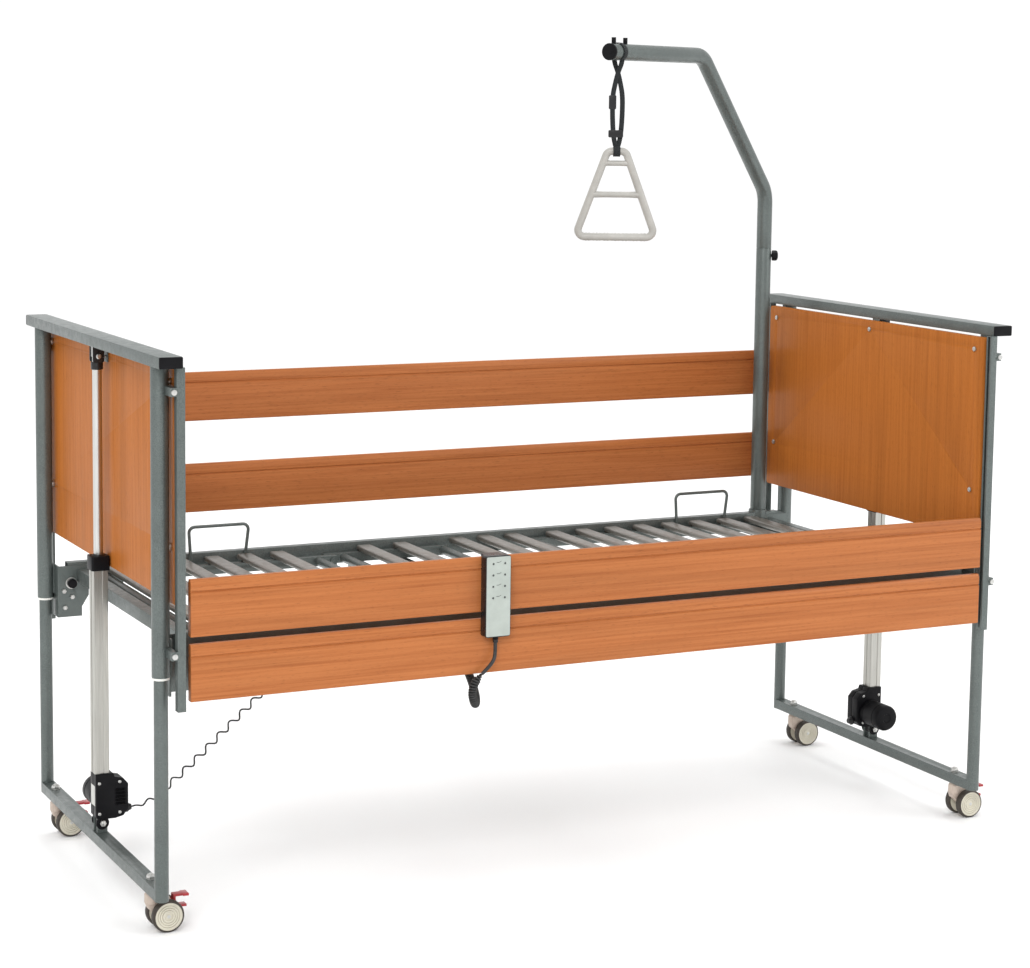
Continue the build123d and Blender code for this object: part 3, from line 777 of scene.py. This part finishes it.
def make_slat(centre_x, half_y, bottom, top):
    """A slat: a flat bar with round edges."""
    half = 19 * MM
    middle = (bottom + top) / 2
    outline = rounded_rectangle(half, (top - bottom) / 2, 5 * MM, (centre_x, middle), steps=5)
    return extruded(outline, 1, -half_y, half_y, 0.5 * MM, 1)


def make_surface():
    """The fixed frame, the seat slats and the three hinged sections."""
    dressed("deck_frame", PAINT, "root", 0.6 * MM)
    dressed("mattress_bows", PAINT, "root", 0.3 * MM)
    slat_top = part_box("seat_slats")[1].z
    slat_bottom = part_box("seat_slats")[0].z
    for node, body in (
        ("seat_slats", "root"), ("back_section", "back"), ("thigh_section", "thigh"), ("calf_section", "calf")
    ):
        slats = []
        frames = []
        for solid in solids_of(node):
            low, high = extent(solid)
            if low.z > slat_bottom - MM and high.y - low.y > 0.7:
                slats.append(make_slat((low.x + high.x) / 2, high.y, slat_bottom, slat_top))
                solid.free()
            else:
                frames.append(bevelled(solid, 0.6 * MM))
        piece = placed(joined(slats), f"{node}_slats", SLAT_PAINT, body, crease=50)
        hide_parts(node)
        if frames:
            piece = placed(joined(frames), f"{node}_frame", PAINT, body)
            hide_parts(node)


def make_drives():
    """Control box, drive housings and rods under the surface."""
    dressed("drive_housings", BLACK, "root", 1.5 * MM)
    dressed("control_box", BLACK, "root", 1.5 * MM)
    dressed("back_drive_rod", STEEL, "back_rod", 0.6 * MM)
    dressed("leg_drive_rod", STEEL, "leg_rod", 0.6 * MM)
    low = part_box("control_box")[0]
    lid_low = (-0.312, -0.047, low.z - 1.2 * MM)
    lid_high = (-0.188, 0.047, low.z)
    lid = rounded_block(lid_low, lid_high, 7 * MM, 0.5 * MM)
    placed(lid, "control_box_lid", SATIN_BLACK, "root")
    heads = [screw((x, y, low.z - 1.2 * MM), (0, 0, -1), 3.2 * MM, 1.2 * MM)
             for x in (-0.302, -0.198) for y in (-0.037, 0.037)]
    placed(joined(heads), "control_box_screws", STEEL, "root")


# ---------------------------------------------------------------- lifting bases

def column_outline(half, groove_half, groove_deep):
    """A square column's section with a groove down the middle of each face."""
    quarter = [
        (half, -half + 2 * MM), (half, -groove_half), (half - groove_deep, -groove_half),
        (half - groove_deep, groove_half), (half, groove_half), (half, half - 2 * MM),
        (half - 2 * MM, half),
    ]
    points = []
    for turn in range(4):
        cosine = round(math.cos(turn * math.pi / 2))
        sine = round(math.sin(turn * math.pi / 2))
        for x, y in quarter:
            points.append((POST_X + x * cosine - y * sine, x * sine + y * cosine))
    return points


def motor_parts():
    """The head motor's pieces, as (name, mesh, material, slot)."""
    parts = []
    case_x0 = POST_X - 59 * MM
    case_x1 = POST_X + 16 * MM
    bottom = 0.148
    top = COLUMN_BOTTOM
    outline = [
        (case_x1, bottom + 4 * MM), (case_x1, top), (case_x0 + 34 * MM, top),
        (case_x0 + 31 * MM, top - 9 * MM),
        (case_x0 + 12 * MM, top - 13 * MM), (case_x0, top - 27 * MM), (case_x0, bottom + 16 * MM),
        (case_x0 + 12 * MM, bottom + 2 * MM), (case_x0 + 30 * MM, bottom - 2 * MM),
        (case_x1 - 5 * MM, bottom - 2 * MM),
    ]
    for name, y0, y1 in (("left", -22 * MM, -0.6 * MM), ("right", 0.6 * MM, 22 * MM)):
        shell = extruded(outline, 1, y0, y1, 2.4 * MM, 3)
        parts.append((f"motor_shell_{name}", shell, BLACK, "black_plastic"))
    middle_x = (case_x0 + case_x1) / 2
    middle_z = (bottom + top) / 2
    inset = [(middle_x + (x - middle_x) * 0.975, middle_z + (z - middle_z) * 0.975) for x, z in outline]
    parts.append(("motor_gasket", extruded(inset, 1, -MM, MM), SATIN_BLACK, "black_plastic"))
    ribs = []
    for number in range(5):
        z = 0.178 + number * 8 * MM
        low = (case_x0 + 7 * MM, 21.5 * MM, z)
        high = (case_x0 + 30 * MM, 23 * MM, z + 3 * MM)
        ribs.append(rounded_block(low, high, MM, 0.3 * MM))
    parts.append(("motor_ribs", joined(ribs), BLACK, "black_plastic"))
    heads = []
    for x in (case_x0 + 20 * MM, case_x1 - 8 * MM):
        for z in (bottom + 11 * MM, top - 21 * MM):
            heads.append(screw((x, -22 * MM, z), (0, -1, 0), 3.6 * MM, 1.6 * MM))
            heads.append(screw((x, 22 * MM, z), (0, 1, 0), 3.6 * MM, 1.6 * MM))
    parts.append(("motor_screws", joined(heads), STEEL, "bright_steel"))
    label_low = (case_x1 - 0.2 * MM, -15 * MM, 0.176)
    label_high = (case_x1 + 0.4 * MM, 14 * MM, 0.222)
    label = rounded_block(label_low, label_high, 0.2 * MM, 0.1 * MM, axis=0)
    parts.append(("motor_label", label, LABEL, "white_plastic"))
    can = [
        (0, 30 * MM), (3 * MM, 33 * MM), (12 * MM, 33 * MM), (13 * MM, 31.5 * MM), (15 * MM, 31.5 * MM),
        (16 * MM, 33 * MM), (54 * MM, 33 * MM), (55 * MM, 31.8 * MM), (57 * MM, 31.8 * MM),
        (58 * MM, 33 * MM),
        (72 * MM, 33 * MM), (76 * MM, 31 * MM), (78 * MM, 26 * MM), (78 * MM, 12 * MM), (76.5 * MM, 11 * MM),
        (76.5 * MM, 0),
    ]
    axis_place = (POST_X - 19 * MM, -22 * MM, 0.186)
    parts.append(("motor_can", lathed(can, axis_place, (0, -1, 0), 64), BLACK, "black_plastic"))
    gland = [(0, 11 * MM), (4 * MM, 11 * MM), (5 * MM, 9 * MM), (12 * MM, 6.5 * MM), (12 * MM, 3 * MM)]
    mesh = lathed(gland, (case_x0, 0, 0.162), (-1, 0, 0), 32)
    parts.append(("motor_gland", mesh, SATIN_BLACK, "black_plastic"))
    foot_low = (POST_X - 9 * MM, -9 * MM, 0.127)
    foot_high = (POST_X + 9 * MM, 9 * MM, 0.150)
    lugs = [rounded_block(foot_low, foot_high, 3 * MM, 0.8 * MM)]
    for side in SIDES:
        lug = [(15.2 * MM, 15 * MM), (18 * MM, 15 * MM), (19.2 * MM, 13.5 * MM)]
        lugs.append(lathed(lug, (POST_X, 0, BASE_PIN_Z), (0, side, 0), 40))
    parts.append(("motor_foot", joined(lugs), BLACK, "black_plastic"))
    cap_half = 21 * MM
    cap = rounded_block(
        (POST_X - cap_half, -cap_half, 0.712), (POST_X + cap_half, cap_half, 0.745), 5 * MM, 2.5 * MM
    )
    parts.append(("column_cap", cap, BLACK, "black_plastic"))
    collar = [(0, 15 * MM), (2 * MM, 14.5 * MM), (3 * MM, 12.5 * MM), (3 * MM, 10.8 * MM)]
    ring = lathed(collar, (POST_X, 0, 0.7445), (0, 0, 1))
    parts.append(("column_wiper", ring, SATIN_BLACK, "black_plastic"))
    return parts


def make_bases():
    """Legs, beams, columns and motors of the two ends."""
    for end in ENDS:
        body = f"{end}_base"
        dressed(f"{end}_base_frame", PAINT, body, 0.7 * MM)
        section = column_outline(17 * MM, 4 * MM, 1.6 * MM)
        column = at_end(extruded(section, 2, COLUMN_BOTTOM, COLUMN_TOP, 0.35 * MM, 1), end)
        column = placed(column, f"{end}_column_profile", ALUMINIUM, body, crease=25)
        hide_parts(f"{end}_column")
        for name, mesh, material, slot in motor_parts():
            piece = placed(at_end(mesh, end), f"{end}_{name}", material, body)
            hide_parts(f"{end}_lift_motor")
        nuts = []
        for side in SIDES:
            nuts.append(hex_nut((POST_X, side * 19 * MM, BASE_PIN_Z), (0, side, 0), 13 * MM, 5 * MM))
        placed(at_end(joined(nuts), end), f"{end}_motor_pin_nuts", STEEL, body)


def wheel_profile(radius, half_width):
    """A tyre's section from its inner rim, over the tread and back, as (along, radius)."""
    rim = radius - 5 * MM
    return [
        (half_width, rim), (-half_width, rim), (-half_width, radius - 4.5 * MM),
        (-half_width + 1.2 * MM, radius - 1.8 * MM),
        (-half_width + 3.6 * MM, radius - 0.3 * MM), (-half_width + 5 * MM, radius),
        (half_width - 5 * MM, radius), (half_width - 3.6 * MM, radius - 0.3 * MM),
        (half_width - 1.2 * MM, radius - 1.8 * MM), (half_width, radius - 4.5 * MM), (half_width, rim),
    ]


def disc_profile(half_width, radius):
    """The outer face of a wheel: concentric rings round a hub cap, then down to the inner side."""
    face = half_width
    rings = [(face - 1.0 * MM, 0), (face - 1.2 * MM, 4.6 * MM), (face - 2.4 * MM, 5.6 * MM)]
    for number in range(4):
        edge = (8.5 + number * 5) * MM
        rings.append((face - 3.4 * MM, edge))
        rings.append((face - 3.4 * MM, edge + 0.9 * MM))
        rings.append((face - 1.2 * MM, edge + 1.5 * MM))
        rings.append((face - 1.2 * MM, edge + 4.3 * MM))
    rings.append((face - 1.6 * MM, radius - 1.6 * MM))
    rings.append((face - 0.4 * MM, radius - MM))
    rings.append((face - 0.4 * MM, radius + 0.2 * MM))
    rings.append((-half_width + MM, radius + 0.2 * MM))
    rings.append((-half_width + MM, 0))
    return rings


def make_caster(end, side_name):
    """A twin-wheel caster: housing, stem, wheels with ringed discs, and red pedals."""
    name = f"{end}_{side_name}"
    body = f"{name}_caster"
    low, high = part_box(f"{name}_caster_wheels")
    axle = Vector(((low.x + high.x) / 2, (low.y + high.y) / 2, (low.z + high.z) / 2))
    radius = (high.z - low.z) / 2
    stem_x = axle.x - 30 * MM
    wheel_half = 9.5 * MM
    tyres = []
    discs = []
    for side in SIDES:
        centre = axle + Vector((0, side * 21.5 * MM, 0))
        tyres.append(lathed(wheel_profile(radius, wheel_half), centre, (0, side, 0), 72, capped=False))
        discs.append(lathed(disc_profile(wheel_half, radius - 5 * MM), centre, (0, side, 0), 72))
    tyre = placed(joined(tyres), f"{name}_tyres", TYRE, f"{body}_wheels", crease=50)
    disc = placed(joined(discs), f"{name}_discs", DISC_CREAM, f"{body}_wheels", crease=25)
    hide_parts(f"{name}_caster_wheels")
    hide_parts(f"{name}_caster_wheels")

    outline = [
        (stem_x - 11 * MM, 80 * MM), (stem_x - 12 * MM, 62 * MM), (stem_x - 8 * MM, 50 * MM),
        (stem_x + 6 * MM, 38 * MM), (axle.x - 10 * MM, 26 * MM), (axle.x, 23 * MM),
        (axle.x + 10 * MM, 27 * MM), (axle.x + 13 * MM, 38 * MM), (axle.x + 12 * MM, 62 * MM),
        (axle.x + 8 * MM, 74 * MM), (axle.x, 80 * MM), (stem_x + 10 * MM, 83 * MM),
    ]
    housing = extruded(outline, 1, axle.y - 10.3 * MM, axle.y + 10.3 * MM, 2.0 * MM, 3)
    collar_profile = [
        (0, 13 * MM), (3 * MM, 14 * MM), (21 * MM, 14 * MM), (23 * MM, 12.5 * MM),
        (26.3 * MM, 11 * MM), (26.3 * MM, 0),
    ]
    collar = lathed(collar_profile, (stem_x, axle.y, 60 * MM), (0, 0, 1), 40)
    shell = joined([housing, collar])
    look = placed(shell, f"{name}_housing", CASTER_GREY, body, crease=30)
    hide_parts(f"{name}_caster_fork")
    washer_profile = [(0, 10 * MM), (1.4 * MM, 10 * MM), (1.6 * MM, 6 * MM)]
    washer = lathed(washer_profile, (stem_x, axle.y, 113.2 * MM), (0, 0, 1), 32)
    nut = hex_nut((stem_x, axle.y, 114.8 * MM), (0, 0, 1), 17 * MM, 8 * MM)
    stem = lathed([(0, 6 * MM), (30 * MM, 6 * MM)], (stem_x, axle.y, 85 * MM), (0, 0, 1), 24)
    pin = lathed([(0, 3 * MM), (0.5 * MM, 3.8 * MM), (61 * MM, 3.8 * MM), (61.5 * MM, 3 * MM)],
                 (axle.x, axle.y - 30.75 * MM, axle.z), (0, 1, 0), 24)
    metal = placed(joined([washer, nut, stem, pin]), f"{name}_stem", STEEL, body)
    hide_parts(f"{name}_caster_fork")
    dressed(f"{name}_brake_pedal", RED, f"{name}_brake", 1.6 * MM)


# ---------------------------------------------------------------- handset

def make_handset():
    """A pale face in a dark body, with hooks, eight keys and plain marks for the hinged sections."""
    low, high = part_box("handset")
    face_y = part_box("handset_key_1")[0].y + 1.6 * MM
    dressed("handset", SATIN_BLACK, "near_upper", 1.6 * MM)
    centre_x = (low.x + high.x) / 2
    keys = [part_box(f"handset_key_{number}") for number in range(1, 9)]
    top = high.z - 2 * MM
    bottom = 0.606
    outline = rounded_rectangle(28.5 * MM, (top - bottom) / 2, 3 * MM, (centre_x, (top + bottom) / 2), 6)
    plate = extruded(outline, 1, face_y - 1.2 * MM, face_y + 0.1 * MM, 0.5 * MM, 2)
    placed(plate, "handset_face_plate", FACE_GREY, "near_upper")
    marks = []
    for number, (key_low, key_high) in enumerate(keys, 1):
        middle = (key_low + key_high) / 2
        cap = rounded_block(key_low, key_high, 2.2 * MM, 0.6 * MM, axis=1)
        look = placed(cap, f"handset_key_{number}_cap", FACE_GREY, f"key_{number}")
        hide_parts(f"handset_key_{number}")
        dot = lathed(
            [(0, 2.5 * MM), (0.4 * MM, 2.3 * MM), (0.4 * MM, 0)],
            (middle.x, key_low.y + 0.1 * MM, middle.z), (0, -1, 0), 24,
        )
        placed(dot, f"handset_key_{number}_dot", KEY_DARK, f"key_{number}")
    for left, right in zip(keys[0::2], keys[1::2]):
        x = (left[0].x + right[1].x) / 2
        z = (left[0].z + left[1].z) / 2 + 3 * MM
        for x0, z0, x1, z1 in ((-6, 0, 0, 0), (0, 0, 5, 2.2)):
            start = Vector((x + x0 * MM, 0, z + z0 * MM))
            stop = Vector((x + x1 * MM, 0, z + z1 * MM))
            thin = 0.5 * MM
            under = [(start.x, start.z - thin), (stop.x, stop.z - thin)]
            corners = under + [(stop.x, stop.z + thin), (start.x, start.z + thin)]
            marks.append(extruded(corners, 1, face_y - 1.45 * MM, face_y - 1.1 * MM))
    placed(joined(marks), "handset_section_marks", KEY_DARK, "near_upper")
    relief = [
        (0, 7.2 * MM), (3 * MM, 7.2 * MM), (4 * MM, 6 * MM), (8 * MM, 6.4 * MM), (9 * MM, 5.4 * MM),
        (14 * MM, 5.6 * MM), (15.5 * MM, 4.6 * MM),
    ]
    gland = lathed(relief, (centre_x, STEM_Y, 0.605), (0, 0, -1), 32)
    placed(gland, "handset_strain_relief", BLACK, "near_upper")


# ---------------------------------------------------------------- lifting pole

def make_pole():
    """Socket, tubes, pegs and clamp knob."""
    dressed("pole_socket", PAINT, "root", 0.8 * MM)
    dressed("pole_lower_tube", PAINT, "root", 0.5 * MM)
    dressed("pole_arm", PAINT, "arm", 0.4 * MM)
    dressed("arm_cap_and_pegs", BLACK, "arm", 1.2 * MM)
    low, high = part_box("pole_clamp_knob")
    outward = heading(HANDLE_AZIMUTH)
    pole_axis = Vector((0.938, 0.422, (low.z + high.z) / 2))
    knob = [
        (17.8 * MM, 4 * MM), (22 * MM, 4 * MM), (22 * MM, 12 * MM), (23.5 * MM, 14 * MM),
        (33 * MM, 14 * MM), (36.5 * MM, 12 * MM), (38 * MM, 8 * MM), (38 * MM, 0),
    ]
    mesh = lathed(knob, pole_axis, outward, 48)
    for vert in mesh.verts:
        offset = vert.co - pole_axis
        along = offset.dot(outward)
        radial = offset - outward * along
        if along > 22.5 * MM and radial.length > 10 * MM:
            side = outward.cross(Vector((0, 0, 1)))
            angle = math.atan2(radial.z, radial.dot(side))
            lobe = 1 - 0.12 * (0.5 + 0.5 * math.cos(6 * angle))
            vert.co = pole_axis + outward * along + radial * lobe
    look = placed(mesh, "clamp_knob_look", BLACK, "pole_knob", crease=45)
    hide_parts("pole_clamp_knob")


def make_handle():
    """The triangular pull: a round loop with a ribbed grip and two bars."""
    low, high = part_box("pull_handle")
    centre = Vector(((low.x + high.x) / 2, (low.y + high.y) / 2, 0))
    across = heading(HANDLE_AZIMUTH)
    grip_z = (low.z + high.z - HANDLE_HEIGHT) / 2
    top_z = grip_z + HANDLE_HEIGHT
    grip_half = 98 * MM
    top_half = 22 * MM
    corners = [(-grip_half, grip_z), (-top_half, top_z), (top_half, top_z), (grip_half, grip_z)]
    radius = 16 * MM
    arcs = []
    for index, corner in enumerate(corners):
        spot = Vector(corner)
        before = (Vector(corners[index - 1]) - spot).normalized()
        after = (Vector(corners[(index + 1) % 4]) - spot).normalized()
        half = math.acos(before.dot(after)) / 2
        cut = radius / math.tan(half)
        start = spot + before * cut
        stop = spot + after * cut
        middle = spot + (before + after).normalized() * radius / math.sin(half)
        arc = []
        for step in range(9):
            chord = start.lerp(stop, step / 8) - middle
            arc.append(middle + chord.normalized() * radius)
        arcs.append(arc)
    line = []
    for index, arc in enumerate(arcs):
        line += arc
        following = arcs[(index + 1) % 4][0]
        steps = 40 if index == 3 else 14
        for step in range(1, steps):
            line.append(arc[-1].lerp(following, step / steps))
    radii = []
    points = []
    for spot in line:
        on_grip = abs(spot.y - grip_z) < 2 * MM and abs(spot.x) < 72 * MM
        ribs = 0.8 * MM * math.cos(2 * math.pi * spot.x / (9 * MM)) if on_grip else 0.0
        radii.append(9.2 * MM + max(0.0, ribs))
        points.append(centre + across * spot.x + Vector((0, 0, spot.y)))
    ring = swept(points, radii, 16, closed=True, normal=across.cross(Vector((0, 0, 1))))
    parts = [ring]
    slope = (grip_half - top_half) / HANDLE_HEIGHT
    for z, size in ((grip_z + 103 * MM, 7.2 * MM), (grip_z + 179 * MM, 6.6 * MM)):
        half = grip_half - slope * (z - grip_z)
        ends = [centre + across * (sign * half) + Vector((0, 0, z)) for sign in SIDES]
        bar = [ends[0].lerp(ends[1], step / 12) for step in range(13)]
        swell = [size * (1 + 0.22 * (2 * abs(step / 12 - 0.5)) ** 4) for step in range(13)]
        parts.append(swept(bar, swell, 14, normal=(0, 0, 1)))
    look = placed(joined(parts), "pull_handle_look", HANDLE_GREY, "pull", crease=60)
    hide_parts("pull_handle")


RIBBON_SECTION = [
    (-1, -0.4), (-0.94, -1), (0.94, -1), (1, -0.4), (1, 0.4), (0.94, 1), (-0.94, 1), (-1, 0.4),
]


def ribbon(points, width, thickness, across):
    """A flat strap along a line of points, across a fixed direction."""
    bm = bmesh.new()
    count = len(points)
    rings = []
    side = Vector(across).normalized()
    for index, spot in enumerate(points):
        ahead = (points[min(index + 1, count - 1)] - points[max(index - 1, 0)]).normalized()
        up = side.cross(ahead).normalized()
        half = width / 2
        row = []
        for a, b in RIBBON_SECTION:
            row.append(bm.verts.new(spot + side * (half * a) + up * (thickness / 2 * b)))
        rings.append(row)
    for first, second in zip(rings, rings[1:]):
        for number in range(len(RIBBON_SECTION)):
            following = (number + 1) % len(RIBBON_SECTION)
            bm.faces.new((first[number], first[following], second[following], second[number]))
    bm.faces.new(rings[0][::-1])
    bm.faces.new(rings[-1])
    return bm


def make_strap():
    """The strap: a loop over the arm, two crossing legs, a buckle, a keeper and an eye for the handle."""
    along_arm = heading(ARM_AZIMUTH)
    beside = Vector((-along_arm.y, along_arm.x, 0))
    across = heading(HANDLE_AZIMUTH)
    facing = Vector((-across.y, across.x, 0))
    low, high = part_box("pull_handle")
    handle = Vector(((low.x + high.x) / 2, (low.y + high.y) / 2, (low.z + high.z + HANDLE_HEIGHT) / 2))
    arm_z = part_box("pull_strap")[1].z - 24 * MM
    centre = Vector((handle.x, handle.y, arm_z))
    thick = 1.8 * MM
    legs = []
    loop = []
    wrap = 22.2 * MM
    for step in range(41):
        angle = math.radians(-60 + step * 300 / 40)
        loop.append(centre + beside * (wrap * math.cos(angle)) + Vector((0, 0, wrap * math.sin(angle))))
    ring = 12.2 * MM
    for side in SIDES:
        rise = []
        for height, apart, front in (
            (190, 0, 1.4), (165, 6, 1.4), (135, 12, 1.4), (90, 12, 1.4), (50, 10, 1.4), (26, 7, 2.5)
        ):
            spot = across * (side * apart * MM) + facing * (side * front * MM)
            rise.append(Vector((handle.x, handle.y, handle.z + height * MM)) + spot)
        turn_back = centre - beside * (side * 9 * MM) + Vector((0, 0, -30 * MM))
        foot = handle + across * (side * 3 * MM) + Vector((0, 0, ring))
        start = loop[0] if side < 0 else loop[-1]
        legs.append(ribbon(smooth_line([start, turn_back] + rise + [foot]), 12 * MM, thick, across))
    legs.append(ribbon(loop, 16 * MM, thick, along_arm))
    eye = []
    for step in range(41):
        angle = math.radians(90 + step * 360 / 40)
        eye.append(handle + facing * (ring * math.cos(angle)) + Vector((0, 0, ring * math.sin(angle))))
    legs.append(ribbon(eye, 17 * MM, thick, across))
    look = placed(joined(legs), "strap_look", WEBBING, "pull", crease=60)
    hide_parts("pull_strap")
    fittings = []
    for x, z, tall, wide in ((-12, 118, 34, 18), (-3, 42, 18, 36)):  # buckle, keeper
        middle = handle + across * (x * MM) + Vector((0, 0, z * MM))
        outline = rounded_rectangle(wide / 2 * MM, tall / 2 * MM, 3 * MM)
        frame_mesh = extruded(outline, 1, -3.4 * MM, 3.4 * MM, 1.0 * MM)
        turn = Matrix((
            (across.x, facing.x, 0, middle.x),
            (across.y, facing.y, 0, middle.y),
            (0, 0, 1, middle.z),
            (0, 0, 0, 1),
        ))
        bmesh.ops.transform(frame_mesh, matrix=turn, verts=frame_mesh.verts)
        fittings.append(frame_mesh)
    placed(joined(fittings), "strap_buckle_and_keeper", SATIN_BLACK, "pull")


make_camera()
make_leads()
make_studio()
make_ends()
make_side_rails()
make_surface()
make_drives()
make_bases()
for end in ENDS:
    for side_name in ("near", "far"):
        make_caster(end, side_name)
make_handset()
make_pole()
make_handle()
make_strap()
